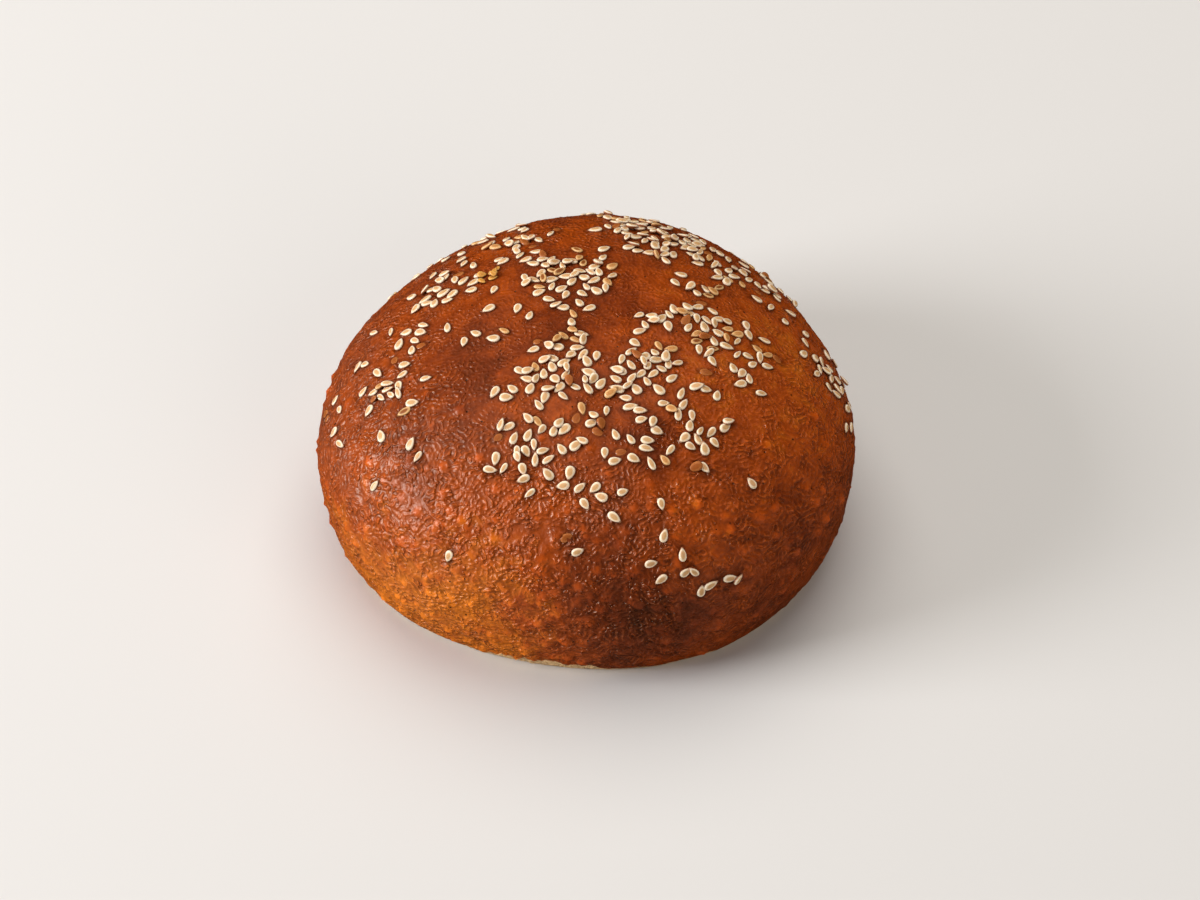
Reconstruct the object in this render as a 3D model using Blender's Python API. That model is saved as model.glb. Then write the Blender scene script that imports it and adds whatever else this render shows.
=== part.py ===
# A round sesame bread: one domed, baked loaf with its sesame seeds fused to the crust.
# Metres, +Z up, +X to the right and -Y towards the viewer. The origin is the middle of the flat base.
import math
import random

import bmesh
import bpy
from mathutils import Matrix, Vector, noise
from mathutils.bvhtree import BVHTree

MM = 0.001

# The loaf's driving sizes
LOAF_WIDTH = 118 * MM
LOAF_DEPTH = 112 * MM
LOAF_HEIGHT = 55 * MM
WAIST_HEIGHT = 20.5 * MM  # the loaf is widest here
BASE_SHARE = 0.915  # radius of the flat base over the radius of the waist
DOME_POWER = 2.15  # 2 is an ellipse, and more is squarer in the shoulder
SKIRT_POWER = 2.3  # the same for the side below the waist

# The plan's outline: how far, and in which direction in degrees, it leaves a circle
THREE_LOBES = (0.025, 81)
FIVE_LOBES = (0.004, 0)

# Soft swells and dents of the crust: azimuth, tilt from the top, reach (all in degrees), rise in mm
SWELLS = (
    (215, 62, 30, 0.9),
    (335, 60, 28, 0.8),
    (95, 48, 30, 0.7),
    (20, 30, 20, 0.5),
    (283, 34, 11, -0.9),
    (190, 34, 14, -0.8),
    (277, 82, 11, -0.7),
    (238, 86, 16, 0.5),
    (300, 80, 16, 0.5),
    (60, 12, 16, -0.5),
    (140, 66, 14, -0.5),
)
RIPPLE_LENGTH = 11 * MM
RIPPLE_HEIGHT = 0.35 * MM
FACETS_PER_SIDE = 16  # of the cube that the loaf is blown up from
SNAP = 0.1 * MM  # a corner this near to the base's plane is taken onto it

# One sesame seed
SEED_LENGTH = 3.3 * MM
SEED_WIDTH = 2.0 * MM
SEED_RISE = 0.62 * MM  # from the crust to the top of the seed
SEED_ROOT = 0.55 * MM  # from the crust down to the seed's hidden underside
SEED_SIDES = 6
SEED_SHOULDER = 0.66  # width of the seed's top over its outline
SEED_TIP = 0.34  # how much the outline narrows towards the tip
SEED_FILL = 1.1  # widens the few-sided outline to the true seed's area

# Where the seeds lie: azimuth, tilt, reach (degrees) and number of each patch
SEED_PATCHES = (
    (61, 53, 5, 46),
    (48, 56, 4, 12),
    (74, 51, 4, 16),
    (116, 25, 4, 19),
    (82, 26, 4, 15),
    (106, 11, 4, 14),
    (3, 37, 4, 20),
    (353, 46, 5, 32),
    (308, 29, 4, 28),
    (242, 14, 5, 17),
    (259, 27, 5, 16),
    (231, 33, 5, 13),
    (247, 51, 4, 16),
    (262, 49, 5, 18),
    (280, 48, 4, 12),
    (299, 48, 5, 14),
    (315, 52, 6, 11),
    (182, 54, 5, 18),
    (194, 62, 4, 13),
    (187, 76, 3, 7),
    (152, 50, 5, 22),
    (116, 49, 6, 28),
    (31, 62, 6, 27),
    (29, 42, 5, 9),
    (0, 76, 4, 16),
    (8, 68, 5, 12),
    (184, 34, 7, 9),
    (214, 65, 7, 10),
    (267, 68, 7, 8),
    (294, 71, 7, 9),
    (292, 88, 5, 2),
    (350, 25, 7, 12),
    (303, 38, 6, 9),
    (80, 68, 9, 16),
    (112, 68, 10, 16),
    (145, 68, 9, 12),
    (45, 72, 8, 10),
)
SEED_GAP = 2.05 * MM  # least distance between the middles of two seeds
SEED_SIZES = (0.88, 1.1)  # smallest and largest, as shares of the named size
LOWEST_SEED_TILT = 88
SEED_TRIES = 30
SEEDS_MODELLED = 300
DRAW = 11

CRUST_COLOUR = (0.30, 0.085, 0.022, 1.0)
CRUST_ROUGHNESS = 0.42
SMOOTH_UP_TO = 35  # degrees between two faces that are still shaded as one

WAIST_CENTRE = Vector((0.0, 0.0, WAIST_HEIGHT))
DOME_RISE = LOAF_HEIGHT - WAIST_HEIGHT
SKIRT_DROP = WAIST_HEIGHT / (1 - BASE_SHARE**SKIRT_POWER) ** (1 / SKIRT_POWER)


def direction(azimuth, tilt):
    """The unit vector at that azimuth from +X and tilt from +Z, in degrees."""
    a = math.radians(azimuth)
    t = math.radians(tilt)
    return Vector((math.sin(t) * math.cos(a), math.sin(t) * math.sin(a), math.cos(t)))


def waist_radius(azimuth):
    """Distance from the axis to the waist, at an azimuth in radians."""
    half_width, half_depth = LOAF_WIDTH / 2, LOAF_DEPTH / 2
    oval = half_width * half_depth / math.hypot(half_depth * math.cos(azimuth), half_width * math.sin(azimuth))
    lobes = 1.0
    for count, (share, aim) in ((3, THREE_LOBES), (5, FIVE_LOBES)):
        lobes += share * math.cos(count * (azimuth - math.radians(aim)))
    return oval * lobes


def swell_at(way):
    """How far the crust stands out of the turned form in one direction."""
    rise = 0.0
    for azimuth, tilt, reach, height in SWELLS:
        apart = math.degrees(way.angle(direction(azimuth, tilt), 0.0))
        rise += height * MM * math.exp(-0.5 * (apart / (0.6 * reach)) ** 2)
    return rise


def crust_point(way):
    """The point of the crust that lies in one direction from the middle of the waist."""
    across = math.hypot(way.x, way.y)
    radius = waist_radius(math.atan2(way.y, way.x))
    upper = way.z >= 0
    power, height = (DOME_POWER, DOME_RISE) if upper else (SKIRT_POWER, SKIRT_DROP)
    reach = ((across / radius) ** power + (abs(way.z) / height) ** power) ** (-1 / power)
    place = WAIST_CENTRE + way * reach
    ripple = RIPPLE_HEIGHT * noise.noise(place / RIPPLE_LENGTH)
    return place + way * (swell_at(way) + ripple)


def fit_to_size(mesh):
    """Moves and stretches the loaf a little, so that its sides are the driving sizes and its base is centred."""
    sizes = (LOAF_WIDTH, LOAF_DEPTH, LOAF_HEIGHT)
    lowest = [min(v.co[i] for v in mesh.verts) for i in range(3)]
    highest = [max(v.co[i] for v in mesh.verts) for i in range(3)]
    lowest[2] = 0.0
    middle = Vector(((lowest[0] + highest[0]) / 2, (lowest[1] + highest[1]) / 2, 0.0))
    stretch = [sizes[i] / (highest[i] - lowest[i]) for i in range(3)]
    for v in mesh.verts:
        v.co = Vector((v.co[i] - middle[i]) * stretch[i] for i in range(3))


def bake_loaf():
    """The loaf without seeds: a cube blown up into a dome and cut flat underneath."""
    mesh = bmesh.new()
    bmesh.ops.create_cube(mesh, size=2.0)
    bmesh.ops.subdivide_edges(mesh, edges=mesh.edges, cuts=FACETS_PER_SIDE - 1, use_grid_fill=True)
    for v in mesh.verts:
        even = Vector(math.tan(side * math.pi / 4) for side in v.co)
        v.co = crust_point(even.normalized())
    fit_to_size(mesh)
    everything = mesh.verts[:] + mesh.edges[:] + mesh.faces[:]
    cut = bmesh.ops.bisect_plane(
        mesh, geom=everything, dist=SNAP, plane_co=(0, 0, 0), plane_no=(0, 0, 1), clear_inner=True
    )
    for part in cut["geom_cut"]:
        if isinstance(part, bmesh.types.BMVert):
            part.co.z = 0.0
    rim = [part for part in cut["geom_cut"] if isinstance(part, bmesh.types.BMEdge)]
    bmesh.ops.contextual_create(mesh, geom=rim)
    bmesh.ops.recalc_face_normals(mesh, faces=mesh.faces)
    bmesh.ops.triangulate(mesh, faces=mesh.faces)
    data = bpy.data.meshes.new("loaf")
    mesh.to_mesh(data)
    mesh.free()
    loaf = bpy.data.objects.new("loaf", data)
    bpy.context.scene.collection.objects.link(loaf)
    return loaf


def seed_ways():
    """Direction, spin and size of each seed, drawn patch by patch in turn so that any first part is an even sample."""
    draw = random.Random(DRAW)
    hands = []
    for azimuth, tilt, reach, number in SEED_PATCHES:
        hands += [((k + draw.random()) / number, azimuth, tilt, reach) for k in range(number)]
    hands.sort()
    seeds, taken = [], []
    for _, azimuth, tilt, reach in hands:
        middle = direction(azimuth, tilt)
        for _ in range(SEED_TRIES):
            spread = Vector(draw.gauss(0, math.radians(reach)) for _ in range(3))
            way = (middle + spread).normalized()
            place = crust_point(way)
            clear = all((place - other).length > SEED_GAP for other in taken)
            if clear and way.z > math.cos(math.radians(LOWEST_SEED_TILT)):
                break
        else:
            continue
        taken.append(place)
        seeds.append((way, draw.uniform(0, math.tau), draw.uniform(*SEED_SIZES)))
    return seeds


def seed_mesh():
    """One seed: a flat-topped teardrop, with its tip along +X and the crust's level at z = 0."""
    mesh = bmesh.new()
    rings = []
    for share, z in ((1.0, -SEED_ROOT), (SEED_SHOULDER, SEED_RISE)):
        ring = []
        for k in range(SEED_SIDES):
            turn = math.tau * k / SEED_SIDES
            narrow = 1 - SEED_TIP * math.cos(turn)
            x = share * SEED_LENGTH / 2 * math.cos(turn)
            y = share * SEED_WIDTH / 2 * math.sin(turn) * narrow * SEED_FILL
            ring.append(mesh.verts.new((x, y, z)))
        rings.append(ring)
    for k in range(SEED_SIDES):
        following = (k + 1) % SEED_SIDES
        mesh.faces.new((rings[0][k], rings[0][following], rings[1][following], rings[1][k]))
    mesh.faces.new(rings[1])
    mesh.faces.new(reversed(rings[0]))
    bmesh.ops.recalc_face_normals(mesh, faces=mesh.faces)
    data = bpy.data.meshes.new("seed")
    mesh.to_mesh(data)
    mesh.free()
    return data


def lay_seeds(loaf):
    """The seeds as objects in a collection of their own, each set into the crust's facets."""
    crust = BVHTree.FromPolygons([v.co for v in loaf.data.vertices], [p.vertices for p in loaf.data.polygons])
    shared = seed_mesh()
    tray = bpy.data.collections.new("seeds")
    bpy.context.scene.collection.children.link(tray)
    for way, spin, size in seed_ways()[:SEEDS_MODELLED]:
        place, outward, _, _ = crust.ray_cast(WAIST_CENTRE, way)
        turned = outward.to_track_quat("Z", "Y").to_matrix().to_4x4() @ Matrix.Rotation(spin, 4, "Z")
        seed = bpy.data.objects.new("seed", shared)
        seed.matrix_world = Matrix.Translation(place) @ turned @ Matrix.Scale(size, 4)
        tray.objects.link(seed)
    return tray


def fuse(loaf, tray):
    """One Boolean union of the loaf with every seed, applied, with the seeds then removed."""
    union = loaf.modifiers.new("fuse seeds", "BOOLEAN")
    union.operation = "UNION"
    union.operand_type = "COLLECTION"
    union.collection = tray
    union.solver = "EXACT"
    bpy.context.view_layer.objects.active = loaf
    bpy.ops.object.modifier_apply(modifier=union.name)
    for seed in list(tray.objects):
        bpy.data.objects.remove(seed)
    bpy.data.collections.remove(tray)


def keep_largest_body(loaf):
    """Drops loose scraps, and fills hollows that fusing has sealed, by keeping the outer shell alone."""
    mesh = bmesh.new()
    mesh.from_mesh(loaf.data)
    left, shells = set(mesh.faces), []
    while left:
        edge_of_shell = [left.pop()]
        shell = set(edge_of_shell)
        while edge_of_shell:
            for edge in edge_of_shell.pop().edges:
                for face in edge.link_faces:
                    if face in left:
                        left.remove(face)
                        shell.add(face)
                        edge_of_shell.append(face)
        shells.append(shell)
    outer = max(shells, key=len)
    scraps = [face for shell in shells if shell is not outer for face in shell]
    bmesh.ops.delete(mesh, geom=scraps, context="FACES")
    bmesh.ops.triangulate(mesh, faces=mesh.faces)
    mesh.to_mesh(loaf.data)
    mesh.free()


def crust_material():
    material = bpy.data.materials.new("baked crust")
    material.use_nodes = True
    shader = material.node_tree.nodes["Principled BSDF"]
    shader.inputs["Base Color"].default_value = CRUST_COLOUR
    shader.inputs["Roughness"].default_value = CRUST_ROUGHNESS
    shader.inputs["Metallic"].default_value = 0.0
    return material


def main():
    for old in list(bpy.data.objects):
        bpy.data.objects.remove(old)
    loaf = bake_loaf()
    fuse(loaf, lay_seeds(loaf))
    keep_largest_body(loaf)
    loaf.data.materials.clear()
    loaf.data.materials.append(crust_material())
    loaf.data.shade_smooth()
    loaf.data.set_sharp_from_angle(angle=math.radians(SMOOTH_UP_TO))


main()
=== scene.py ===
import math
import random

import bpy
import numpy as np
from mathutils import Matrix, Vector, noise
from mathutils.bvhtree import BVHTree


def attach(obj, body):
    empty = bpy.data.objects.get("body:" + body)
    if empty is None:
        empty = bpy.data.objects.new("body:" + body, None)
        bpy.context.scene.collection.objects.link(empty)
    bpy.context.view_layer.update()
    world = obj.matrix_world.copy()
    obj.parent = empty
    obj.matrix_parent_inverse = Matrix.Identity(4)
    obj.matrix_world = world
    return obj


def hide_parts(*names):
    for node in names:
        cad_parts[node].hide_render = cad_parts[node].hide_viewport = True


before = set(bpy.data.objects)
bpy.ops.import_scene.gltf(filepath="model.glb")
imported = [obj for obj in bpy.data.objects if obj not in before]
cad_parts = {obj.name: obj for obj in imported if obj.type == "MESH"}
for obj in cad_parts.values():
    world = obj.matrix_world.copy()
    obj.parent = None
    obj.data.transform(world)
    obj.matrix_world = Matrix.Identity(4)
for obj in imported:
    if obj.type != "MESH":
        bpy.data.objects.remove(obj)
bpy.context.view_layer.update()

mm = 0.001


def toLinear(hexColour):
    # sRGB hex to the linear colour that Blender's sockets take
    channels = [int(hexColour[k:k + 2], 16) / 255 for k in (1, 3, 5)]
    return tuple(c / 12.92 if c <= 0.04045 else ((c + 0.055) / 1.055) ** 2.4 for c in channels) + (1.0,)


def addNode(tree, kind, settings=None, links=None):
    # settings go to the node's own options or its sockets, links join sockets to what feeds them
    node = tree.nodes.new(kind)
    for name, value in (settings or {}).items():
        if isinstance(name, str) and hasattr(node, name):
            setattr(node, name, value)
        else:
            node.inputs[name].default_value = value
    for name, source in (links or {}).items():
        tree.links.new(source, node.inputs[name])
    return node


def newMaterial(name):
    material = bpy.data.materials.new(name)
    material.use_nodes = True
    tree = material.node_tree
    return material, tree, tree.nodes["Principled BSDF"]


def selectOnly(piece):
    bpy.ops.object.select_all(action="DESELECT")
    piece.select_set(True)
    bpy.context.view_layer.objects.active = piece


def pickInEditMode(piece, wanted):
    # selects the vertices that wanted() says yes to, and leaves the piece in edit mode
    selectOnly(piece)
    bpy.ops.object.mode_set(mode="EDIT")
    bpy.ops.mesh.select_mode(type="VERT")
    bpy.ops.mesh.select_all(action="DESELECT")
    bpy.ops.object.mode_set(mode="OBJECT")
    for vertex in piece.data.vertices:
        vertex.select = wanted(vertex.co)
    bpy.ops.object.mode_set(mode="EDIT")


def direction(azimuth, tilt):
    # unit vector from the azimuth round from +X and the tilt down from +Z, in degrees
    a, t = math.radians(azimuth), math.radians(tilt)
    return Vector((math.sin(t) * math.cos(a), math.sin(t) * math.sin(a), math.cos(t)))


def softStep(value, low, high):
    x = np.clip((value - low) / (high - low), 0.0, 1.0)
    return x * x * (3 - 2 * x)


# The loaf's form, the same as the solid's
loaf = {
    "width": 118 * mm,
    "depth": 112 * mm,
    "height": 55 * mm,
    "waist": 20.5 * mm,
    "baseShare": 0.915,
    "domePower": 2.15,
    "skirtPower": 2.3,
    "lobes": ((3, 0.025, 81), (5, 0.004, 0)),  # count, share, aim
    "swells": (  # azimuth, tilt, reach, rise in mm
        (215, 62, 30, 0.9),
        (335, 60, 28, 0.8),
        (95, 48, 30, 0.7),
        (20, 30, 20, 0.5),
        (283, 34, 11, -0.9),
        (190, 34, 14, -0.8),
        (277, 82, 11, -0.7),
        (238, 86, 16, 0.5),
        (300, 80, 16, 0.5),
        (60, 12, 16, -0.5),
        (140, 66, 14, -0.5),
    ),
    "swellFall": 0.6,  # share of its reach by which a swell has mostly sunk
    "rippleLength": 11 * mm,
    "rippleHeight": 0.35 * mm,
    "footRadius": 1.8 * mm,  # how far the rounding of the bottom edge reaches
    "flatBelow": 0.01 * mm,  # points lower than this are set level with the base
    "flatWithin": 0.5,  # degrees between faces that are joined underneath
    "cellsPerSide": 206,
}
waistCentre = Vector((0, 0, loaf["waist"]))


def degreesFrom(ways, azimuth, tilt):
    return np.degrees(np.arccos(np.clip(ways @ np.array(direction(azimuth, tilt)), -1, 1)))


def formReach(ways):
    # how far the crust lies from the middle of the waist, along each row of ways
    azimuth = np.arctan2(ways[:, 1], ways[:, 0])
    across = np.hypot(ways[:, 0], ways[:, 1])
    halfWidth, halfDepth = loaf["width"] / 2, loaf["depth"] / 2
    radius = halfWidth * halfDepth / np.hypot(halfDepth * np.cos(azimuth), halfWidth * np.sin(azimuth))
    lobes = np.ones(len(ways))
    for count, share, aim in loaf["lobes"]:
        lobes += share * np.cos(count * (azimuth - math.radians(aim)))
    radius = radius * lobes
    domeRise = loaf["height"] - loaf["waist"]
    skirtDrop = loaf["waist"] / (1 - loaf["baseShare"] ** loaf["skirtPower"]) ** (1 / loaf["skirtPower"])
    upper = ways[:, 2] >= 0
    power = np.where(upper, loaf["domePower"], loaf["skirtPower"])
    height = np.where(upper, domeRise, skirtDrop)
    reach = ((across / radius) ** power + (np.abs(ways[:, 2]) / height) ** power) ** (-1 / power)
    places = ways * reach[:, None] + np.array(waistCentre)
    for azimuthOf, tilt, spread, rise in loaf["swells"]:
        apart = degreesFrom(ways, azimuthOf, tilt)
        reach = reach + rise * mm * np.exp(-0.5 * (apart / (loaf["swellFall"] * spread)) ** 2)
    ripple = [noise.noise(Vector(place) / loaf["rippleLength"]) for place in places]
    return reach + loaf["rippleHeight"] * np.array(ripple)


def readPoints(mesh):
    points = np.empty(len(mesh.vertices) * 3)
    mesh.vertices.foreach_get("co", points)
    return points.reshape(-1, 3)


def writePoints(mesh, points):
    mesh.vertices.foreach_set("co", points.ravel())
    mesh.update()


def addAttribute(mesh, name, values):
    mesh.attributes.new(name, "FLOAT", "POINT").data.foreach_set("value", np.asarray(values, dtype=np.float32))


def shapeLoaf():
    # a finely divided cube, blown up into the loaf and flattened underneath
    bpy.ops.object.select_all(action="DESELECT")
    bpy.ops.mesh.primitive_cube_add(size=2)
    crust = bpy.context.object
    crust.name = crust.data.name = "crust"
    bpy.ops.object.mode_set(mode="EDIT")
    bpy.ops.mesh.subdivide(number_cuts=loaf["cellsPerSide"] - 1)
    bpy.ops.object.mode_set(mode="OBJECT")
    ways = np.tan(readPoints(crust.data) * math.pi / 4)
    ways /= np.linalg.norm(ways, axis=1)[:, None]
    points = ways * formReach(ways)[:, None] + np.array(waistCentre)
    # stretched a little to the exact sides, as the solid is
    lowest, highest = points.min(axis=0), points.max(axis=0)
    lowest[2] = 0.0
    middle = np.array([(lowest[0] + highest[0]) / 2, (lowest[1] + highest[1]) / 2, 0.0])
    sides = np.array([loaf["width"], loaf["depth"], loaf["height"]])
    points = (points - middle) * sides / (highest - lowest)
    # the flat base, with the bottom edge rounded into it
    offsets = points - np.array(waistCentre)
    reach = np.linalg.norm(offsets, axis=1)
    ways = offsets / reach[:, None]
    level = 0.05  # ways that fall less than this never meet the base
    toBase = np.where(ways[:, 2] < -level, loaf["waist"] / np.maximum(-ways[:, 2], level), 1.0)
    share = np.clip(0.5 + 0.5 * (toBase - reach) / loaf["footRadius"], 0, 1)
    reach = toBase * (1 - share) + reach * share - loaf["footRadius"] * share * (1 - share)
    points = ways * reach[:, None] + np.array(waistCentre)
    points[:, 2] = np.where(points[:, 2] < loaf["flatBelow"], 0.0, points[:, 2])
    writePoints(crust.data, points)
    # the flat underside needs no small cells
    pickInEditMode(crust, lambda co: co.z == 0.0)
    bpy.ops.mesh.select_mode(type="FACE")
    bpy.ops.mesh.dissolve_limited(angle_limit=math.radians(loaf["flatWithin"]))
    bpy.ops.object.mode_set(mode="OBJECT")
    return crust


# What baking did to the crust
crustRelief = {
    "calmFoot": (0.2 * mm, 3 * mm),  # heights between which the relief grows from nothing
    "unevenSize": 14 * mm,  # of the patches in which the relief and the browning wander
    "blisterSize": 2.6 * mm,
    "blisterRise": 0.85 * mm,
    "blisterTilts": (48, 72),  # where they start and where they are full, down from the top
    "blisterWander": 26,  # degrees
    "blisterAim": (265, 36),  # the azimuth where they are strongest, and how far round it
    "blisterElsewhere": 0.3,  # share of their strength that they keep elsewhere
    "dimpleSize": 5 * mm,
    "dimpleRise": 0.26 * mm,
    "wrinkleSize": 1.7 * mm,
    "wrinkleRise": 0.24 * mm,
    "wrinkleTilts": (34, 66),
    "wrinkleWander": 14,
    "wrinkleOnTop": 0.35,  # share of their strength that they keep on the top
    "wrinkleOctaves": 1.5,
    "pearls": 420,
    "pearlDraw": 5,
    "pearlMiddle": (262, 82),  # azimuth and tilt of the place where they lie thickest
    "pearlSpread": (36, 15),
    "pearlRadius": (0.65 * mm, 1.4 * mm),
    "pearlRise": 0.55,  # share of the radius
    "pearlOverlap": 0.3,  # how much of another pearl a new one may lie over
    "pearlFoot": (0.5 * mm, 3 * mm),  # heights between which they grow from nothing
    "undersideTop": 0.05 * mm,
    "footEdge": (0.7, 1.3),  # shares of the height between which the pale foot fades
    "footTop": 1.2 * mm,  # how high the pale foot reaches
    "footTopFront": 2.5 * mm,  # and how much higher at the front left
    "footFront": (258, 12),  # azimuth of that place, and how far round it
    "brownedAndShadedFall": 0.75,  # share of its reach by which a patch of browning and painted shade has mostly faded
    "brownedAndShadedRagged": 0.5,  # how far its edge wanders, as a share of the way from its middle
    "mapTilts": range(121),  # tilts at which the crust is measured for its flat map
    "mapAside": 0.5,  # metres by which the underside's map is set aside from the rest
}
# azimuth, tilt, reach (degrees) and strength of the patches that are darker, or paler where negative: partly browning
# from the oven and partly painted light and shade, which make the lower front darker and the lower left and the right
# flank paler
browningAndShade = (
    (205, 45, 12, 0.3),
    (295, 46, 8, 0.65),
    (281, 86, 12, 0.75),
    (37, 17, 6, 0.35),
    (200, 18, 12, 0.25),
    (318, 102, 26, 0.15),
    (120, 80, 40, 0.2),
    (228, 102, 24, -0.9),
    (250, 82, 18, -0.32),
    (40, 38, 16, -0.1),
    (350, 60, 26, -0.35),
    (300, 74, 12, -0.3),
    (84, 10, 18, 0.32),
    (215, 70, 20, 0.24),
    (342, 78, 9, 0.16),
    (262, 74, 10, 0.28),
    (309, 84, 14, 0.22),
)


def weigh(crust, name, weights):
    # a vertex group whose weights are rounded to a few levels, so that each is set in one go
    levels = 20
    group = crust.vertex_groups.new(name=name)
    nearest = np.round(np.clip(weights, 0, 1) * levels).astype(int)
    for level in range(1, levels + 1):
        group.add(np.nonzero(nearest == level)[0].tolist(), level / levels, "REPLACE")


def pushOut(crust, name, kind, size, rise, group, settings=None):
    texture = bpy.data.textures.new(name, kind)
    texture.noise_scale = size
    for option, value in (settings or {}).items():
        setattr(texture, option, value)
    push = crust.modifiers.new(name, "DISPLACE")
    push.texture = texture
    push.texture_coords = "LOCAL"
    push.strength = rise
    push.mid_level = 0.5
    push.vertex_group = group
    selectOnly(crust)
    bpy.ops.object.modifier_apply(modifier=name)


def raisePearls(crust, ways):
    # round pearls of skin where the dough bubbled under the glaze
    draw = random.Random(crustRelief["pearlDraw"])
    points = readPoints(crust.data)
    pearl = np.zeros(len(points))
    rise = np.zeros(len(points))
    for _ in range(crustRelief["pearls"]):
        azimuth, tilt = (draw.gauss(*pair) for pair in zip(crustRelief["pearlMiddle"], crustRelief["pearlSpread"]))
        radius = draw.uniform(*crustRelief["pearlRadius"])
        middle = points[np.argmax(ways @ np.array(direction(azimuth, tilt)))]
        dome = np.clip(1 - (np.linalg.norm(points - middle, axis=1) / radius) ** 2, 0, 1)
        if pearl[dome > 0].max() > crustRelief["pearlOverlap"]:
            continue
        pearl = np.maximum(pearl, dome)
        rise = np.maximum(rise, dome * radius * crustRelief["pearlRise"])
    rise *= softStep(points[:, 2], *crustRelief["pearlFoot"])
    writePoints(crust.data, points + ways * rise[:, None])
    addAttribute(crust.data, "pearl", pearl)


def roughenCrust(crust):
    points = readPoints(crust.data)
    ways = points - np.array(waistCentre)
    ways /= np.linalg.norm(ways, axis=1)[:, None]
    tilt = np.degrees(np.arccos(np.clip(ways[:, 2], -1, 1)))
    azimuth = np.degrees(np.arctan2(ways[:, 1], ways[:, 0])) % 360
    offBase = softStep(points[:, 2], *crustRelief["calmFoot"])
    uneven = np.array([noise.noise(Vector(point) / crustRelief["unevenSize"]) for point in points])
    wrinkled = softStep(tilt + crustRelief["wrinkleWander"] * uneven, *crustRelief["wrinkleTilts"])
    onTop = crustRelief["wrinkleOnTop"]
    blistered = softStep(tilt + crustRelief["blisterWander"] * uneven, *crustRelief["blisterTilts"])
    aim, spread = crustRelief["blisterAim"]
    elsewhere = crustRelief["blisterElsewhere"]
    blistered *= elsewhere + (1 - elsewhere) * np.exp(-0.5 * ((azimuth - aim) / spread) ** 2)
    weigh(crust, "offBase", offBase)
    weigh(crust, "wrinkled", offBase * (onTop + (1 - onTop) * wrinkled))
    weigh(crust, "blistered", offBase * blistered)
    pushOut(crust, "dimples", "CLOUDS", crustRelief["dimpleSize"], crustRelief["dimpleRise"], "offBase")
    pushOut(crust, "blisters", "VORONOI", crustRelief["blisterSize"], -crustRelief["blisterRise"], "blistered")
    pushOut(crust, "wrinkles", "MUSGRAVE", crustRelief["wrinkleSize"], crustRelief["wrinkleRise"], "wrinkled",
            {"musgrave_type": "RIDGED_MULTIFRACTAL", "octaves": crustRelief["wrinkleOctaves"]})
    crust.vertex_groups.clear()
    raisePearls(crust, ways)
    addAttribute(crust.data, "pushedOut", ((readPoints(crust.data) - points) * ways).sum(axis=1) / mm)
    # the browning patches, with painted shade on the lower front and painted light on the lower left and right flank,
    # summed into one attribute
    browningAndShadeSum = np.zeros(len(points))
    for azimuthOf, tiltOf, spread, strength in browningAndShade:
        ragged = degreesFrom(ways, azimuthOf, tiltOf) * (1 + crustRelief["brownedAndShadedRagged"] * uneven)
        browningAndShadeSum += strength * np.exp(-0.5 * (ragged / (crustRelief["brownedAndShadedFall"] * spread)) ** 2)
    addAttribute(crust.data, "brownedAndShaded", browningAndShadeSum)
    addAttribute(crust.data, "wrinkled", wrinkled)
    # the foot stays pale, a little higher up at the front left
    aim, spread = crustRelief["footFront"]
    footTop = crustRelief["footTop"] + crustRelief["footTopFront"] * np.exp(-0.5 * ((azimuth - aim) / spread) ** 4)
    underside = points[:, 2] < crustRelief["undersideTop"]
    above = softStep(points[:, 2] / footTop, *crustRelief["footEdge"])
    addAttribute(crust.data, "paleFoot", np.where(underside, 0, 1 - above))
    addAttribute(crust.data, "underside", underside)
    # the crust laid out flat round its top, like a map of the pole, for the patterns that lie on it
    tilts = crustRelief["mapTilts"]
    meridian = np.array([direction(0, step) for step in tilts])
    meridian *= formReach(meridian)[:, None]
    arc = np.concatenate([[0], np.cumsum(np.linalg.norm(np.diff(meridian, axis=0), axis=1))])
    outward = np.stack([np.cos(np.radians(azimuth)), np.sin(np.radians(azimuth))], axis=1)
    across = np.interp(tilt, tilts, arc)[:, None] * outward
    laidOut = np.where(underside[:, None], points[:, :2] + crustRelief["mapAside"], across)
    flat = crust.data.attributes.new("laidOut", "FLOAT_VECTOR", "POINT")
    flat.data.foreach_set("vector", np.column_stack([laidOut, np.zeros(len(points))]).ravel().astype(np.float32))


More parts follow.
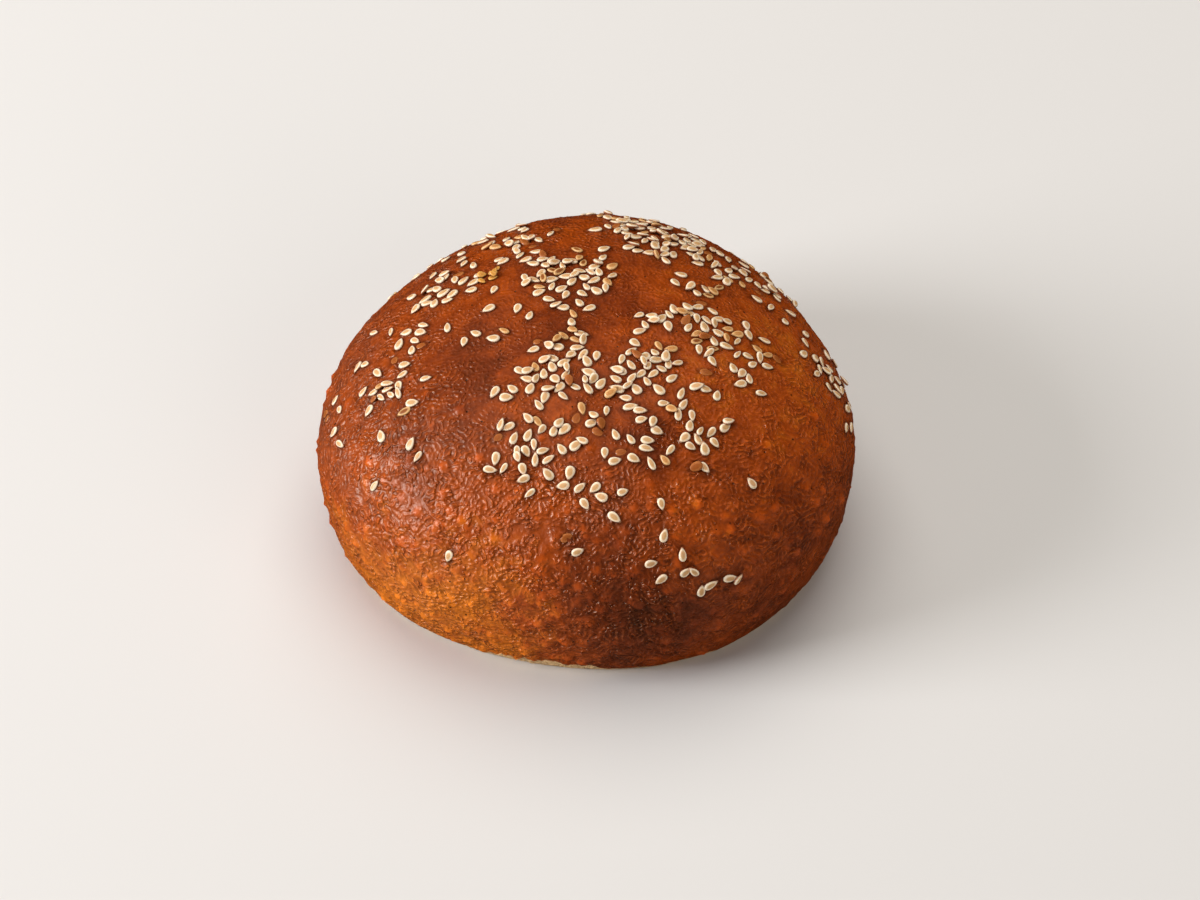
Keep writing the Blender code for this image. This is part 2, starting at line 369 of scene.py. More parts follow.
# The seeds: the solid's own rule for where they lie, and what each kind looks like
sesame = {
    "length": 3.35 * mm,
    "width": 1.85 * mm,
    "thickness": 0.8 * mm,
    "gap": 2.05 * mm,  # from the middle of one seed to the next, at least
    "sizes": (0.88, 1.1),
    "stretch": ((0.93, 1.07), (0.88, 1.1), (0.85, 1.1)),  # of one seed along, across and upward
    "lowestTilt": 88,
    "tries": 30,
    "draw": 11,
    "most": 430,
    "patches": (  # azimuth, tilt, reach and number
        (61, 53, 5, 46),
        (48, 56, 4, 12),
        (74, 51, 4, 16),
        (116, 25, 4, 19),
        (82, 26, 4, 15),
        (106, 11, 4, 14),
        (3, 37, 4, 20),
        (353, 46, 5, 32),
        (308, 29, 4, 28),
        (242, 14, 5, 17),
        (259, 27, 5, 16),
        (231, 33, 5, 13),
        (247, 51, 4, 16),
        (262, 49, 5, 18),
        (280, 48, 4, 12),
        (299, 48, 5, 14),
        (315, 52, 6, 11),
        (182, 54, 5, 18),
        (194, 62, 4, 13),
        (187, 76, 3, 7),
        (152, 50, 5, 22),
        (116, 49, 6, 28),
        (31, 62, 6, 27),
        (29, 42, 5, 9),
        (0, 76, 4, 16),
        (8, 68, 5, 12),
        (184, 34, 7, 9),
        (214, 65, 7, 10),
        (267, 68, 7, 8),
        (294, 71, 7, 9),
        (292, 88, 5, 2),
        (350, 25, 7, 12),
        (303, 38, 6, 9),
        (80, 68, 9, 16),
        (112, 68, 10, 16),
        (145, 68, 9, 12),
        (45, 72, 8, 10),
    ),
    "partners": 125,  # seeds that fell against others
    "partnerGap": (1.6 * mm, 2.2 * mm),
    "partnerTries": 12,
    "crowdReach": 6 * mm,  # seeds this near count towards how thick they lie
    "clump": (141, 41, 1.3, 7),  # azimuth, tilt, reach and number of the seeds stuck together with syrup
    "clumpSizes": (0.6, 0.85),
    "narrowing": 0.25,  # share of the width that a seed loses from its middle to its tip
    "crown": 0.35,  # power of the rounding of a seed's top
    "stacked": 0.42,  # share of the thickness by which a seed's middle clears the seed under it
    "sunk": 0.05 * mm,  # how far a seed sinks into what it rests on
    "steepest": 0.6,  # slope from tail to tip
    "mostRoll": 0.5,  # slope from side to side
    "feelers": 5,  # rays round a seed's middle, whose mean gives the way it faces
    "feelerSpread": 0.03,
    "shadowAndGlazeEdge": (1.0, 1.6),  # where the painted contact shadow and darker glaze beside a seed fade out, in half lengths and widths
    "nearby": 3 * mm,  # how far from a seed the crust is looked at
}
# a seed rests on what lies under these points of it, in shares of its length and width
restPoints = {"tail": (-0.36, 0), "middle": (0, 0), "tip": (0.38, 0), "left": (-0.1, 0.33), "right": (-0.1, -0.33)}
# each shape's share of the width, how deep its top is dished, its taper, and its curl in degrees
seedShapes = {
    "plump": (1.0, 0.16, -0.6, 6),
    "slim": (0.8, 0.1, -0.5, 16),
    "cupped": (0.86, 0.75, -0.4, 8),
}
# share of the seeds, how far the middle of a seed lies above the crust, and the shape it is copied from
seedKinds = {
    "paleSeeds": {"share": 0.84, "lift": 0.2 * mm, "shapes": ("plump", "plump", "slim")},
    "toastedSeeds": {"share": 0.07, "lift": 0.15 * mm, "shapes": ("plump", "slim")},
    "glazedSeeds": {"share": 0.065, "lift": -0.22 * mm, "shapes": ("plump",)},
    "openSeeds": {"share": 0.025, "lift": 0.14 * mm, "shapes": ("cupped",)},
    "goldenSeeds": {"share": 0.0, "lift": 0.25 * mm, "shapes": ("plump",)},
}


def seedWays():
    # the solid's rule, patch by patch in turn
    draw = random.Random(sesame["draw"])
    hands = []
    for azimuth, tilt, reach, number in sesame["patches"]:
        hands += [((k + draw.random()) / number, azimuth, tilt, reach) for k in range(number)]
    hands.sort()
    seeds, taken = [], []
    lowest = math.cos(math.radians(sesame["lowestTilt"]))
    for _, azimuth, tilt, reach in hands:
        middle = direction(azimuth, tilt)
        for _ in range(sesame["tries"]):
            spread = Vector(draw.gauss(0, math.radians(reach)) for _ in range(3))
            way = (middle + spread).normalized()
            place = waistCentre + way * formReach(np.array([way]))[0]
            clear = all((place - other).length > sesame["gap"] for other in taken)
            if clear and way.z > lowest:
                break
        else:
            continue
        taken.append(place)
        seeds.append((way, draw.uniform(0, math.tau), draw.uniform(*sesame["sizes"])))
    seeds = seeds[:sesame["most"]]
    # partners lean on a seed that is there already, mostly where the seeds lie thick
    draw = random.Random(sesame["draw"] + 1)
    crowd = [sum((place - other).length < sesame["crowdReach"] for other in taken)
             for place in taken[:sesame["most"]]]
    for _ in range(sesame["partners"]):
        for _ in range(sesame["partnerTries"]):
            chosen = draw.choices(range(len(crowd)), weights=[c ** 2 for c in crowd])[0]
            aside = Vector(draw.gauss(0, 1) for _ in range(3)).normalized() * draw.uniform(*sesame["partnerGap"])
            way = (taken[chosen] + aside - waistCentre).normalized()
            place = waistCentre + way * formReach(np.array([way]))[0]
            if all((place - other).length > sesame["partnerGap"][0] for other in taken):
                break
        taken.append(place)
        seeds.append((way, draw.uniform(0, math.tau), draw.uniform(*sesame["sizes"])))
    return seeds


def addSeedShape(name, widen, dish, taper, curl):
    # one seed round its own middle, one unit in each side's half: a flat-topped teardrop with a raised rim
    bpy.ops.object.select_all(action="DESELECT")
    bpy.ops.mesh.primitive_uv_sphere_add(segments=14, ring_count=6, radius=1)
    seed = bpy.context.object
    seed.name = name
    # the rim, the flanks, the dished middle of the top, and the tip
    changes = (
        (lambda co: 0.8 < abs(co.z) < 0.95, bpy.ops.transform.resize, (1.36, 1.36, 0.96)),
        (lambda co: 0.3 < abs(co.z) < 0.6, bpy.ops.transform.resize, (1.04, 1.04, 1.1)),
        (lambda co: co.z > 0.95, bpy.ops.transform.translate, (0, 0, -dish)),
        (lambda co: co.x > 0.95, bpy.ops.transform.translate, (0.2, 0, 0)),
    )
    for wanted, change, value in changes:
        pickInEditMode(seed, wanted)
        change(value=value)
        bpy.ops.object.mode_set(mode="OBJECT")
    bends = (("TAPER", "X", "factor", taper), ("BEND", "Z", "angle", math.radians(curl)))
    for kind, axis, option, amount in bends:
        bend = seed.modifiers.new(kind.lower(), "SIMPLE_DEFORM")
        bend.deform_method = kind
        bend.deform_axis = axis
        setattr(bend, option, amount)
        bpy.ops.object.modifier_apply(modifier=bend.name)
    points = readPoints(seed.data)
    points[:, :2] /= np.abs(points[:, :2]).max(axis=0)
    own = seed.data.attributes.new("seedPlace", "FLOAT_VECTOR", "POINT")
    own.data.foreach_set("vector", points.ravel().astype(np.float32))
    sides = np.array([sesame["length"], sesame["width"] * widen, sesame["thickness"]]) / 2
    writePoints(seed.data, points * sides)
    bpy.ops.object.shade_smooth()
    return seed


def seedTop(point, outward, laid):
    # how high earlier seeds stand at a point of the crust's plane, along outward
    top = -1.0
    for matrix, back in laid:
        if (matrix.translation - point).length > sesame["length"]:
            continue
        local = back @ point
        x = local.x / (sesame["length"] / 2)
        y = local.y / (sesame["width"] / 2 * (1 - sesame["narrowing"] * x))
        inside = 1 - x * x - y * y
        if inside > 0:
            local.z = sesame["thickness"] / 2 * inside ** sesame["crown"]
            top = max(top, (matrix @ local - point).dot(outward))
    return top


def settleSeed(way, spin, size, lift, draw, crustTree, laid):
    # lays a seed on the crust and on the seeds under it, tilted as they prop it up
    place, outward, _, _ = crustTree.ray_cast(waistCentre, way)
    # the crust's small wrinkles don't turn a seed: the normal is taken over a seed's length
    for _ in range(sesame["feelers"]):
        aside = Vector(draw.gauss(0, sesame["feelerSpread"]) for _ in range(3))
        outward = outward + crustTree.ray_cast(waistCentre, (way + aside).normalized())[1]
    outward = outward.normalized()
    turned = outward.to_track_quat("Z", "Y").to_matrix() @ Matrix.Rotation(spin, 3, "Z")
    rests = []
    for u, v in restPoints.values():
        x, y = u * sesame["length"], v * sesame["width"]
        point = place + turned.col[0] * x + turned.col[1] * y
        hit = crustTree.ray_cast(point + outward * sesame["nearby"], -outward)[0]
        ground = (hit - point).dot(outward) if hit else 0.0
        onSeeds = seedTop(point, outward, laid) + sesame["stacked"] * sesame["thickness"]
        rests.append((x, y, max(ground + lift, onSeeds)))
    tail, middle, tip, left, right = rests
    slope = np.clip((tip[2] - tail[2]) / (tip[0] - tail[0]), -sesame["steepest"], sesame["steepest"])
    roll = np.clip((left[2] - right[2]) / (left[1] - right[1]), -sesame["mostRoll"], sesame["mostRoll"])
    height = max(top - slope * x - roll * y for x, y, top in (middle, tip, left, right)) - sesame["sunk"]
    lean = Matrix.Rotation(-math.atan(slope), 3, "Y") @ Matrix.Rotation(math.atan(roll), 3, "X")
    stretch = [size * draw.uniform(*limits) for limits in sesame["stretch"]]
    turned = (turned @ lean @ Matrix.Diagonal(stretch)).to_4x4()
    return Matrix.Translation(place + outward * height) @ turned


def layKind(name, shapes, matrices, draw):
    # copies of the shapes, each with a mesh and a tone of its own, joined to one piece
    copies = []
    for matrix in matrices:
        shape = shapes[draw.choice(seedKinds[name]["shapes"])]
        copy = shape.copy()
        copy.data = shape.data.copy()
        copy.matrix_world = matrix
        addAttribute(copy.data, "seedTone", np.full(len(copy.data.vertices), draw.random()))
        bpy.context.scene.collection.objects.link(copy)
        copies.append(copy)
    bpy.ops.object.select_all(action="DESELECT")
    for copy in copies:
        copy.select_set(True)
    bpy.context.view_layer.objects.active = copies[0]
    bpy.ops.object.join()
    piece = bpy.context.object
    piece.name = piece.data.name = name
    bpy.ops.object.transform_apply(location=True, rotation=True, scale=True)
    return piece


def paintShadowAndGlazeBesideSeeds(crust, laid):
    # painted contact shadow beside each seed, together with the darker glaze that ran together there
    points = readPoints(crust.data)
    shade = np.zeros(len(points))
    for matrix, back in laid:
        near = np.nonzero(np.abs(points - np.array(matrix.translation)).max(axis=1) < sesame["nearby"])[0]
        local = points[near] @ np.array(back.to_3x3()).T + np.array(back.translation)
        apart = np.hypot(local[:, 0] / (sesame["length"] / 2), local[:, 1] / (sesame["width"] / 2))
        shade[near] = np.maximum(shade[near], 1 - softStep(apart, *sesame["shadowAndGlazeEdge"]))
    addAttribute(crust.data, "shadowAndGlazeBesideSeed", shade)


def scatterSeeds(crust):
    corners = [vertex.co for vertex in crust.data.vertices]
    crustTree = BVHTree.FromPolygons(corners, [face.vertices for face in crust.data.polygons])
    shapes = {name: addSeedShape(name, *values) for name, values in seedShapes.items()}
    draw = random.Random(sesame["draw"] + 2)
    names = list(seedKinds)
    shares = [seedKinds[name]["share"] for name in names]
    laid, byKind = [], {name: [] for name in names}
    for way, spin, size in seedWays():
        name = draw.choices(names, weights=shares)[0]
        matrix = settleSeed(way, spin, size, seedKinds[name]["lift"], draw, crustTree, laid)
        laid.append((matrix, matrix.inverted()))
        byKind[name].append(matrix)
    azimuth, tilt, reach, number = sesame["clump"]
    for _ in range(number):
        way = direction(azimuth, tilt) + Vector(draw.gauss(0, math.radians(reach)) for _ in range(3))
        matrix = settleSeed(way.normalized(), draw.uniform(0, math.tau), draw.uniform(*sesame["clumpSizes"]),
                            seedKinds["goldenSeeds"]["lift"], draw, crustTree, laid)
        laid.append((matrix, matrix.inverted()))
        byKind["goldenSeeds"].append(matrix)
    pieces = {name: layKind(name, shapes, byKind[name], draw) for name in names}
    for shape in shapes.values():
        bpy.data.objects.remove(shape)
    paintShadowAndGlazeBesideSeeds(crust, laid)
    print("seeds laid:", {name: len(byKind[name]) for name in names})
    return pieces


# Wheat crust brushed with egg and baked hard: browned sugars and protein under a thin, shiny skin.
# It gives the eye a satin brown with warm golden flecks, fine curled wrinkles and a few pin-holes.
# Sizes are those of the real marks. A share says how much one counts in the colour and a height how much it
# counts in the relief. An edge is the range in which one fades, with its values at the two ends.
crustLook = {
    "gold": "#CE6C12",
    "amber": "#A54306",
    "chestnut": "#762A03",
    "scorched": "#481903",
    "foot": "#F0C890",
    "underside": "#B0743C",
    # the top of a wrinkle: paler partly in its own colour and partly as a painted highlight
    "curl": "#D98A48",
    "glint": "#FFDDB6",  # of the light that the glaze throws back
    "roughness": 0.46,
    "glossEdge": (0.3, 0.7),  # of the mottling
    "glossWander": (-0.08, 0.1),  # added to the roughness where the glaze is thick and where it is thin
    "undersideDull": 0.3,  # added to it underneath
    "ior": 1.45,
    "specular": 0.75,
    "coat": 0.3,
    "coatRoughness": 0.3,
    # the tone, from gold to scorched, and what deepens it
    "tonePlaces": {"gold": 0.3, "amber": 0.53, "chestnut": 0.72, "scorched": 0.92},
    "toneStart": 0.26,
    "mottle": 14 * mm,
    "mottleShare": 0.3,
    "freckle": 2.8 * mm,
    "freckleShare": 0.38,
    "brownedAndShadedShare": 0.34,
    # wrinkles, and where they fade
    "curlSize": 3.5 * mm,
    "curlReach": 1.6 * mm,
    "curlTintAndHighlightShare": 0.1,
    "wrinkleCell": 3.4 * mm,
    "wrinklesPerCell": 3.0,
    "wrinkleEdge": (0.4, 0.78),
    "wrinkleLightAndShadeShare": 0.8,
    "furrowShadeLevel": 0.36,  # the height that keeps the plain tone: painted light makes the crust above it lighter, and painted shade makes the furrows below it darker
    "patchSize": 5 * mm,
    "patchEdge": (0.35, 0.62, 0.35, 1.0),
    "smoothShare": 0.5,  # of the wrinkles' strength where the crust is smooth
    "pearlEdge": (0.1, 0.7, 1.0, 0.15),
    "borderEdge": (0.1 * mm, 1.2 * mm, 0.1, 1.0),
    # crumbs, pearls, pin-holes and pimples; the crumbs and pearls carry painted light and each pimple a painted
    # highlight
    "crumbSize": 2.1 * mm,
    "crumbEdge": (0.05, 0.62, 1.0, 0.0),
    "crumbLightShare": 0.35,
    "crumbHeight": 0.9,
    "pearlLightShare": 0.25,
    "pushedOutLightShare": 0.6,
    "holes": (3.2 * mm, 0.05, 0.14),  # spacing, radius in spacings, and share of the cells; the pin-holes are painted dark as the shade inside them
    "holeHeight": -1.5,
    "flecks": (1.25 * mm, 0.17, 0.45),  # the same of the pimples
    "fleckHighlightShare": 0.5,
    "fleckHeight": 0.9,
    # how dark the painted contact shadow and darker glaze beside a seed are
    "shadowAndGlazeBesideSeedShare": 0.6,
    "raggedSize": 2 * mm,
    "undersideEdge": (0.3, 0.7, 0.45, 0.95),
    "footRagged": (1.2, -0.62),
    "footEdge": (0.4, 0.62),
    "grainSize": 1.3 * mm,
    "grainHeight": 0.5,
    "reliefDepth": 0.4 * mm,
    "wrapRadius": 54 * mm,  # of the side that the wrapped pattern goes round
    "wrapStart": 56 * mm,  # how far down from the top, along the crust, the wrapped pattern starts
    "wrapWander": 20 * mm,  # how far that border wanders up and down
    "wanderSize": 7 * mm,
}


def calc(tree, operation, *terms):
    # a Math node, where each term is a number or the socket that feeds it
    numbers = {k: term for k, term in enumerate(terms) if isinstance(term, (int, float))}
    sockets = {k: term for k, term in enumerate(terms) if not isinstance(term, (int, float))}
    return addNode(tree, "ShaderNodeMath", {"operation": operation, **numbers}, sockets).outputs[0]


def softRange(tree, value, low, high, start=0.0, end=1.0):
    return addNode(tree, "ShaderNodeMapRange", {"interpolation_type": "SMOOTHSTEP", "From Min": low, "From Max": high,
                                                "To Min": start, "To Max": end}, {"Value": value}).outputs[0]


def tint(tree, share, under, over):
    # a colour that goes from the socket under to the hex colour over
    return addNode(tree, "ShaderNodeMix", {"data_type": "RGBA", 7: toLinear(over)}, {0: share, 6: under}).outputs[2]


def dotsIn(tree, place, spacing, radius, share):
    # small round dots in that share of the cells of a scattered grid
    cell = addNode(tree, "ShaderNodeTexVoronoi", {"voronoi_dimensions": "2D", "Scale": 1 / spacing}, {"Vector": place})
    dot = softRange(tree, cell.outputs["Distance"], radius * 0.5, radius * 1.5, 1.0, 0.0)
    pick = addNode(tree, "ShaderNodeSeparateColor", None, {"Color": cell.outputs["Color"]}).outputs[0]
    return calc(tree, "MULTIPLY", dot, calc(tree, "LESS_THAN", pick, share))


def noiseAt(tree, place, size, detail=2.0):
    return addNode(tree, "ShaderNodeTexNoise", {"Scale": 1 / size, "Detail": detail}, {"Vector": place})


def bakedCrust():
    look = crustLook
    material, tree, shader = newMaterial("bakedCrust")
    solid = addNode(tree, "ShaderNodeTexCoord").outputs["Object"]
    polar = addNode(tree, "ShaderNodeAttribute", {"attribute_name": "laidOut"}).outputs["Vector"]
    brownedAndShaded, wrinkled, pushedOut, pearl, shadowAndGlazeBeside, foot, underside = (
        addNode(tree, "ShaderNodeAttribute", {"attribute_name": name}).outputs["Fac"]
        for name in ("brownedAndShaded", "wrinkled", "pushedOut", "pearl", "shadowAndGlazeBesideSeed", "paleFoot", "underside"))
    notUnder = calc(tree, "LESS_THAN", underside, 0.01)

    # fine patterns lie flat round the top on the dome, and are wrapped round the side below it
    parts = addNode(tree, "ShaderNodeSeparateXYZ", None, {0: solid}).outputs
    around = calc(tree, "ARCTAN2", parts[0], calc(tree, "MULTIPLY", parts[1], -1.0))
    around = calc(tree, "MULTIPLY", around, look["wrapRadius"])
    down = addNode(tree, "ShaderNodeVectorMath", {"operation": "LENGTH"}, {0: polar}).outputs["Value"]
    wrapped = addNode(tree, "ShaderNodeCombineXYZ", None, {0: around, 1: down}).outputs[0]
    wander = calc(tree, "SUBTRACT", noiseAt(tree, solid, look["wanderSize"], 1.0).outputs["Fac"], 0.5)
    past = calc(tree, "MULTIPLY_ADD", wander, look["wrapWander"], down)
    past = calc(tree, "SUBTRACT", past, look["wrapStart"])
    onSide = calc(tree, "MULTIPLY", calc(tree, "GREATER_THAN", past, 0.0), notUnder)
    place = addNode(tree, "ShaderNodeMix", {"data_type": "VECTOR"}, {0: onSide, 4: polar, 5: wrapped}).outputs[1]
    offBorder = softRange(tree, calc(tree, "ABSOLUTE", past), *look["borderEdge"])

    # short wrinkles, curled by a broad noise and stronger in some patches than in others
    curl = noiseAt(tree, solid, look["curlSize"], 1.0).outputs["Color"]
    bent = addNode(tree, "ShaderNodeVectorMath", {"operation": "MULTIPLY_ADD", 1: (look["curlReach"],) * 3},
                   {0: curl, 2: place}).outputs[0]
    wrinkle = addNode(tree, "ShaderNodeTexGabor", {"gabor_type": "2D", "Scale": 1 / look["wrinkleCell"],
                                                   "Frequency": look["wrinklesPerCell"], "Anisotropy": 0.0},
                      {"Vector": bent}).outputs["Value"]
    wrinkle = softRange(tree, wrinkle, *look["wrinkleEdge"])
    patchy = softRange(tree, noiseAt(tree, solid, look["patchSize"], 1.0).outputs["Fac"], *look["patchEdge"])
    smooth = look["smoothShare"]
    strength = calc(tree, "MULTIPLY", patchy, calc(tree, "MULTIPLY_ADD", wrinkled, 1 - smooth, smooth))
    strength = calc(tree, "MULTIPLY", strength, softRange(tree, pearl, *look["pearlEdge"]))
    strength = calc(tree, "MULTIPLY", strength, calc(tree, "MULTIPLY", notUnder, offBorder))

    # round crumbs of crust between the wrinkles, pin-holes, and pimples with a painted highlight
    crumb = addNode(tree, "ShaderNodeTexVoronoi", {"voronoi_dimensions": "2D", "Scale": 1 / look["crumbSize"]},
                    {"Vector": bent})
    crumb = calc(tree, "MULTIPLY", softRange(tree, crumb.outputs["Distance"], *look["crumbEdge"]), wrinkled)
    # pin-holes, painted dark as the shade inside them
    hole = calc(tree, "MULTIPLY", dotsIn(tree, place, *look["holes"]), notUnder)
    fleck = calc(tree, "MULTIPLY", dotsIn(tree, place, *look["flecks"]), strength)

    # colour: gold to chestnut by the oven's mottling and the patches of browning and painted shade, then painted light
    # and shade from the relief, lighter on the tops and darker between the wrinkles
    mottle = noiseAt(tree, solid, look["mottle"], 3.0).outputs["Fac"]
    freckle = noiseAt(tree, solid, look["freckle"], 3.0).outputs["Fac"]
    depth = calc(tree, "MULTIPLY_ADD", freckle, look["freckleShare"], look["toneStart"])
    for mark, share in ((mottle, "mottleShare"), (brownedAndShaded, "brownedAndShadedShare")):
        depth = calc(tree, "MULTIPLY_ADD", mark, look[share], depth)
    tone = addNode(tree, "ShaderNodeValToRGB", None, {"Fac": depth})
    ramp = tone.color_ramp
    for stop, shade in zip(ramp.elements, ("gold", "scorched")):
        stop.position, stop.color = look["tonePlaces"][shade], toLinear(look[shade])
    for shade in ("amber", "chestnut"):
        ramp.elements.new(look["tonePlaces"][shade]).color = toLinear(look[shade])
    # painted light and shade from the relief: tops of wrinkles and crumbs lighter, furrows darker, a painted highlight
    # on each pimple, and lighter pearls and pushed-out crust
    reliefLightAndShade = calc(tree, "SUBTRACT", calc(tree, "MULTIPLY_ADD", crumb, look["crumbLightShare"], wrinkle), look["furrowShadeLevel"])
    reliefLightAndShade = calc(tree, "MULTIPLY_ADD", calc(tree, "MULTIPLY", reliefLightAndShade, strength), look["wrinkleLightAndShadeShare"], 1.0)
    for mark, share in ((fleck, "fleckHighlightShare"), (pearl, "pearlLightShare"), (pushedOut, "pushedOutLightShare")):
        reliefLightAndShade = calc(tree, "MULTIPLY_ADD", mark, look[share], reliefLightAndShade)
    colour = addNode(tree, "ShaderNodeVectorMath", {"operation": "SCALE"},
                     {"Vector": tone.outputs["Color"], "Scale": reliefLightAndShade}).outputs[0]
    # the wrinkle tops tinted paler, partly their own colour and partly a painted highlight
    curlTintAndHighlight = calc(tree, "MULTIPLY", calc(tree, "MULTIPLY", wrinkle, strength), look["curlTintAndHighlightShare"])
    colour = tint(tree, curlTintAndHighlight, colour, look["curl"])
    # painted contact shadow and darker glaze beside each seed, and painted shade inside the pin-holes
    seedShadowAndHoleShade = calc(tree, "MAXIMUM", calc(tree, "MULTIPLY", shadowAndGlazeBeside, look["shadowAndGlazeBesideSeedShare"]), hole)
    colour = tint(tree, seedShadowAndHoleShade, colour, look["scorched"])
    # a mix with no second colour, only to keep the colour between black and white
    colour = addNode(tree, "ShaderNodeMix", {"data_type": "RGBA", "clamp_result": True, 0: 0.0}, {6: colour}).outputs[2]
    ragged = noiseAt(tree, solid, look["raggedSize"]).outputs["Fac"]
    bare = calc(tree, "MULTIPLY", underside, softRange(tree, ragged, *look["undersideEdge"]))
    colour = tint(tree, bare, colour, look["underside"])
    ragged = calc(tree, "ADD", calc(tree, "MULTIPLY_ADD", ragged, *look["footRagged"]), foot)
    colour = tint(tree, softRange(tree, ragged, *look["footEdge"]), colour, look["foot"])
    tree.links.new(colour, shader.inputs["Base Color"])

    # height: wrinkles, crumbs and pimples stand up, pin-holes go in
    height = calc(tree, "MULTIPLY", calc(tree, "MULTIPLY_ADD", crumb, look["crumbHeight"], wrinkle), strength)
    grain = noiseAt(tree, solid, look["grainSize"]).outputs["Fac"]
    for mark, share in ((grain, "grainHeight"), (fleck, "fleckHeight"), (hole, "holeHeight")):
        height = calc(tree, "MULTIPLY_ADD", mark, look[share], height)
    bump = addNode(tree, "ShaderNodeBump", {"Strength": 1.0, "Distance": look["reliefDepth"]},
                   {"Height": height}).outputs[0]
    tree.links.new(bump, shader.inputs["Normal"])
    tree.links.new(bump, shader.inputs["Coat Normal"])
    # the glaze lies thicker in some places, which shine more
    gloss = softRange(tree, mottle, *look["glossEdge"], *(look["roughness"] + more for more in look["glossWander"]))
    tree.links.new(calc(tree, "MULTIPLY_ADD", underside, look["undersideDull"], gloss), shader.inputs["Roughness"])
    shader.inputs["IOR"].default_value = look["ior"]
    shader.inputs["Specular IOR Level"].default_value = look["specular"]
    shader.inputs["Specular Tint"].default_value = toLinear(look["glint"])
    shader.inputs["Coat Weight"].default_value = look["coat"]
    shader.inputs["Coat Roughness"].default_value = look["coatRoughness"]
    return material


# Hulled sesame, an oily seed with a papery skin: ivory, a little see-through, with a paler raised rim round a creamier
# middle and a browner tip.
# The rim's paleness is partly a painted highlight, and the lower side of each seed carries painted shade. Toasting
# turns it tan, and egg glaze turns it brown and shiny.
seedLooks = {
    "paleSeeds": {"rim": "#FAE6C8", "middle": "#D2A36E", "edge": "#96501F", "odd": "#DBA97A", "roughness": 0.34},
    "toastedSeeds": {"rim": "#E9BB82", "middle": "#C2864A", "edge": "#8C4A18", "odd": "#C58750", "roughness": 0.34},
    "glazedSeeds": {"rim": "#B26A36", "middle": "#9C5322", "edge": "#6F3310", "odd": "#A8642F", "roughness": 0.3},
    "openSeeds": {"rim": "#E0B379", "middle": "#8A4C1E", "edge": "#8F5220", "odd": "#D39C5B", "roughness": 0.42},
    "goldenSeeds": {"rim": "#E3AC5C", "middle": "#CC8C3A", "edge": "#8E4D12", "odd": "#C98A3A", "roughness": 0.28},
}


# what the skin is like on every kind
seedSkin = {
    "blotchSize": 0.9 * mm,
    "blotchShare": 0.5,
    "oddEdge": (0.85, 1.45, 0.0, 0.8),
    "rimAndHighlightEdge": (0.35, 0.78),
    "tipEdge": (0.6, 1.05, 0.0, 0.6),
    # where the painted shade on a seed's lower side fades in
    "shadedSideEdge": (-0.1, 0.55, 0.95, 0.0),
    "grainSize": 0.3 * mm,
    "grainStrength": 0.6,
    "grainDepth": 0.05 * mm,
    "ior": 1.47,
    "glow": 0.15,  # share of the light that passes through the skin
    "glowColour": (1.0, 0.7, 0.4),
    "glowReach": 0.3 * mm,
}


def sesameSkin(name):
    look = seedLooks[name]
    material, tree, shader = newMaterial(name)
    own = addNode(tree, "ShaderNodeAttribute", {"attribute_name": "seedPlace"}).outputs["Vector"]
    tone = addNode(tree, "ShaderNodeAttribute", {"attribute_name": "seedTone"}).outputs["Fac"]
    place = addNode(tree, "ShaderNodeTexCoord").outputs["Object"]
    flat = addNode(tree, "ShaderNodeVectorMath", {"operation": "MULTIPLY", 1: (1, 1, 0)}, {0: own}).outputs[0]
    fromMiddle = addNode(tree, "ShaderNodeVectorMath", {"operation": "LENGTH"}, {0: flat}).outputs["Value"]
    colour = addNode(tree, "ShaderNodeRGB").outputs[0]
    colour.default_value = toLinear(look["middle"])
    # some seeds are duller or browner than the rest, and each is a little uneven
    blotch = noiseAt(tree, place, seedSkin["blotchSize"]).outputs["Fac"]
    uneven = calc(tree, "MULTIPLY_ADD", blotch, seedSkin["blotchShare"], tone)
    colour = tint(tree, softRange(tree, uneven, *seedSkin["oddEdge"]), colour, look["odd"])
    # the paler rim: partly the seed's own ivory, partly a painted highlight on the raised edge
    colour = tint(tree, softRange(tree, fromMiddle, *seedSkin["rimAndHighlightEdge"]), colour, look["rim"])
    # browner at the tip, the seed's own colour, and painted shade round the lower side of each seed
    parts = addNode(tree, "ShaderNodeSeparateXYZ", None, {0: own})
    colour = tint(tree, softRange(tree, parts.outputs[0], *seedSkin["tipEdge"]), colour, look["edge"])
    colour = tint(tree, softRange(tree, parts.outputs[2], *seedSkin["shadedSideEdge"]), colour, look["edge"])
    tree.links.new(colour, shader.inputs["Base Color"])
    grain = noiseAt(tree, place, seedSkin["grainSize"]).outputs["Fac"]
    bump = addNode(tree, "ShaderNodeBump", {"Strength": seedSkin["grainStrength"], "Distance": seedSkin["grainDepth"]},
                   {"Height": grain}).outputs[0]
    tree.links.new(bump, shader.inputs["Normal"])
    shader.inputs["Roughness"].default_value = look["roughness"]
    shader.inputs["IOR"].default_value = seedSkin["ior"]
    shader.inputs["Subsurface Weight"].default_value = seedSkin["glow"]
    shader.inputs["Subsurface Radius"].default_value = seedSkin["glowColour"]
    shader.inputs["Subsurface Scale"].default_value = seedSkin["glowReach"]
    return material


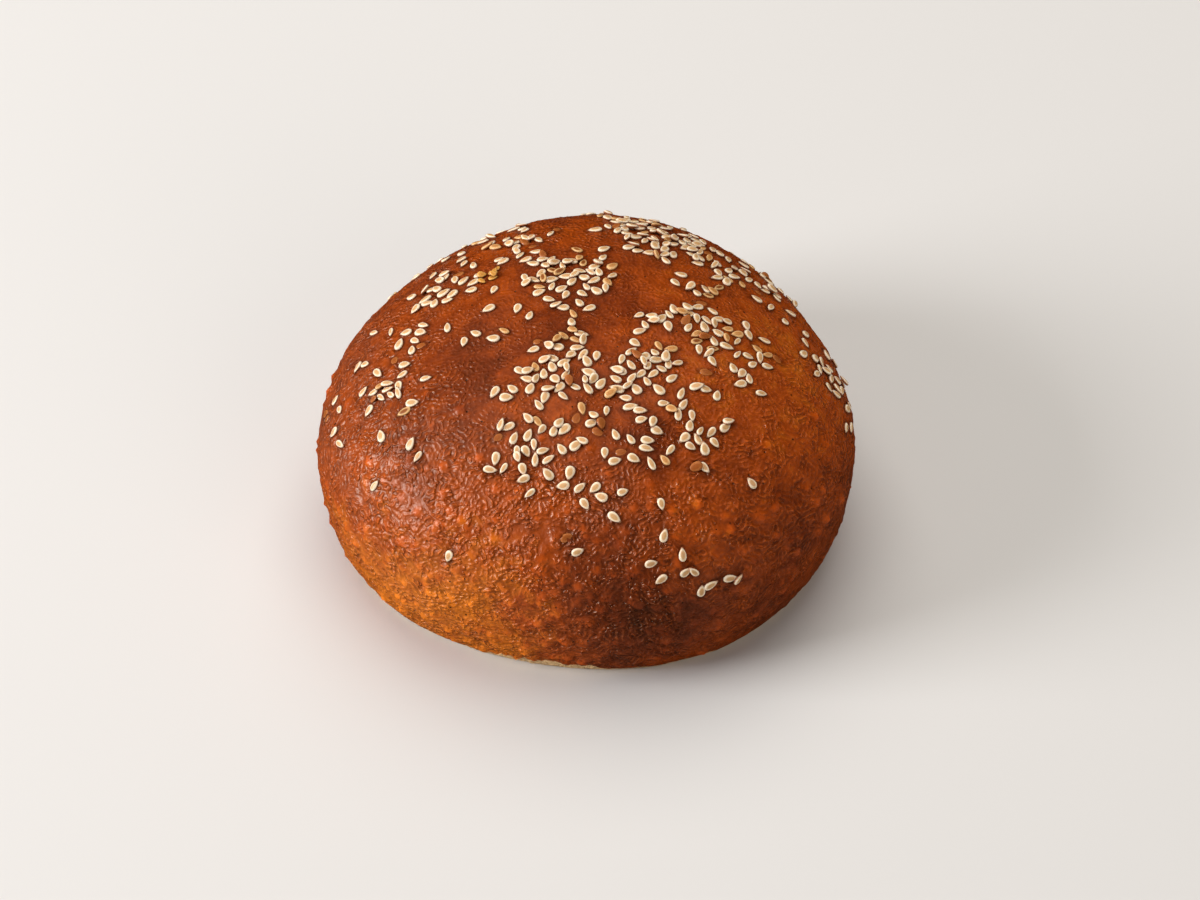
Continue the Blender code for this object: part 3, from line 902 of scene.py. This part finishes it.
# The room: a pale floor, a soft light on the left, a broad one overhead and a weak one at the front right
studio = {
    "floor": "#DBD8D4",
    "floorSide": 8.0,
    "floorRoughness": 0.85,
    "floorSpecular": 0.2,
    "sky": "#F1EEEA",
    "skyStrength": 0.12,
    # place, aim, side, watts, colour, and whether it shows as a highlight
    "lights": {
        "window": ((-1.35, -0.25, 0.58), (0, 0, 0.02), 0.65, 24.0, "#FAFBFF", True),
        "overhead": ((-0.05, 0.55, 1.4), (0, 0, 0.03), 1.6, 20.0, "#FFFCF8", False),
        "fill": ((0.95, -1.15, 0.7), (0, 0, 0.02), 1.2, 7.0, "#FFFAF4", False),
    },
}
shot = {
    "elevation": 48,
    "distance": 794 * mm,
    "aim": (2.9 * mm, 6.8 * mm, 6.1 * mm),
    "lens": 105.4,
    "sensor": 36.0,
    "clipStart": 50 * mm,
}


def pointAt(thing, place, aim):
    thing.location = place
    thing.rotation_euler = (Vector(aim) - Vector(place)).to_track_quat("-Z", "Y").to_euler()


def setStudio():
    scene = bpy.context.scene
    bpy.ops.object.select_all(action="DESELECT")
    bpy.ops.mesh.primitive_plane_add(size=studio["floorSide"])
    floor = bpy.context.object
    floor.name = "floor"
    # matt painted board: even and pale, so that it only takes the bread's shadow
    material, _, shader = newMaterial("paintedBoard")
    shader.inputs["Base Color"].default_value = toLinear(studio["floor"])
    shader.inputs["Roughness"].default_value = studio["floorRoughness"]
    shader.inputs["Specular IOR Level"].default_value = studio["floorSpecular"]
    floor.data.materials.append(material)
    floor.visible_glossy = False
    world = bpy.data.worlds.new("studio")
    scene.world = world
    world.use_nodes = True
    sky = world.node_tree.nodes["Background"]
    sky.inputs["Color"].default_value = toLinear(studio["sky"])
    sky.inputs["Strength"].default_value = studio["skyStrength"]
    world.cycles_visibility.glossy = False
    for name, (place, aim, side, watts, shade, shines) in studio["lights"].items():
        lamp = bpy.data.lights.new(name, "AREA")
        lamp.size = side
        lamp.energy = watts
        lamp.color = toLinear(shade)[:3]
        holder = bpy.data.objects.new(name, lamp)
        holder.visible_camera = False
        holder.visible_glossy = shines
        pointAt(holder, place, aim)
        scene.collection.objects.link(holder)
    camera = bpy.data.objects.new("camera", bpy.data.cameras.new("camera"))
    camera.data.lens = shot["lens"]
    camera.data.sensor_width = shot["sensor"]
    camera.data.clip_start = shot["clipStart"]
    up = math.radians(shot["elevation"])
    back = Vector((0, -math.cos(up), math.sin(up))) * shot["distance"]
    pointAt(camera, Vector(shot["aim"]) + back, shot["aim"])
    scene.collection.objects.link(camera)
    scene.camera = camera
    scene.view_settings.view_transform = "Standard"


print("shaping the loaf")
crust = shapeLoaf()
roughenCrust(crust)
selectOnly(crust)
bpy.ops.object.shade_smooth()
relief = [value.value for value in crust.data.attributes["pushedOut"].data]
print("crust triangles:", sum(len(face.vertices) - 2 for face in crust.data.polygons))
print("crust relief, mm: %.2f to %.2f" % (min(relief), max(relief)))
print("scattering the seeds")
seedPieces = scatterSeeds(crust)
print("finishing the surfaces")
crust.data.materials.append(bakedCrust())
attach(crust, "root")
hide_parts("loaf")
for name, piece in seedPieces.items():
    piece.data.materials.clear()
    piece.data.materials.append(sesameSkin(name))
    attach(piece, "root")
print("setting up the studio")
setStudio()

print("done")
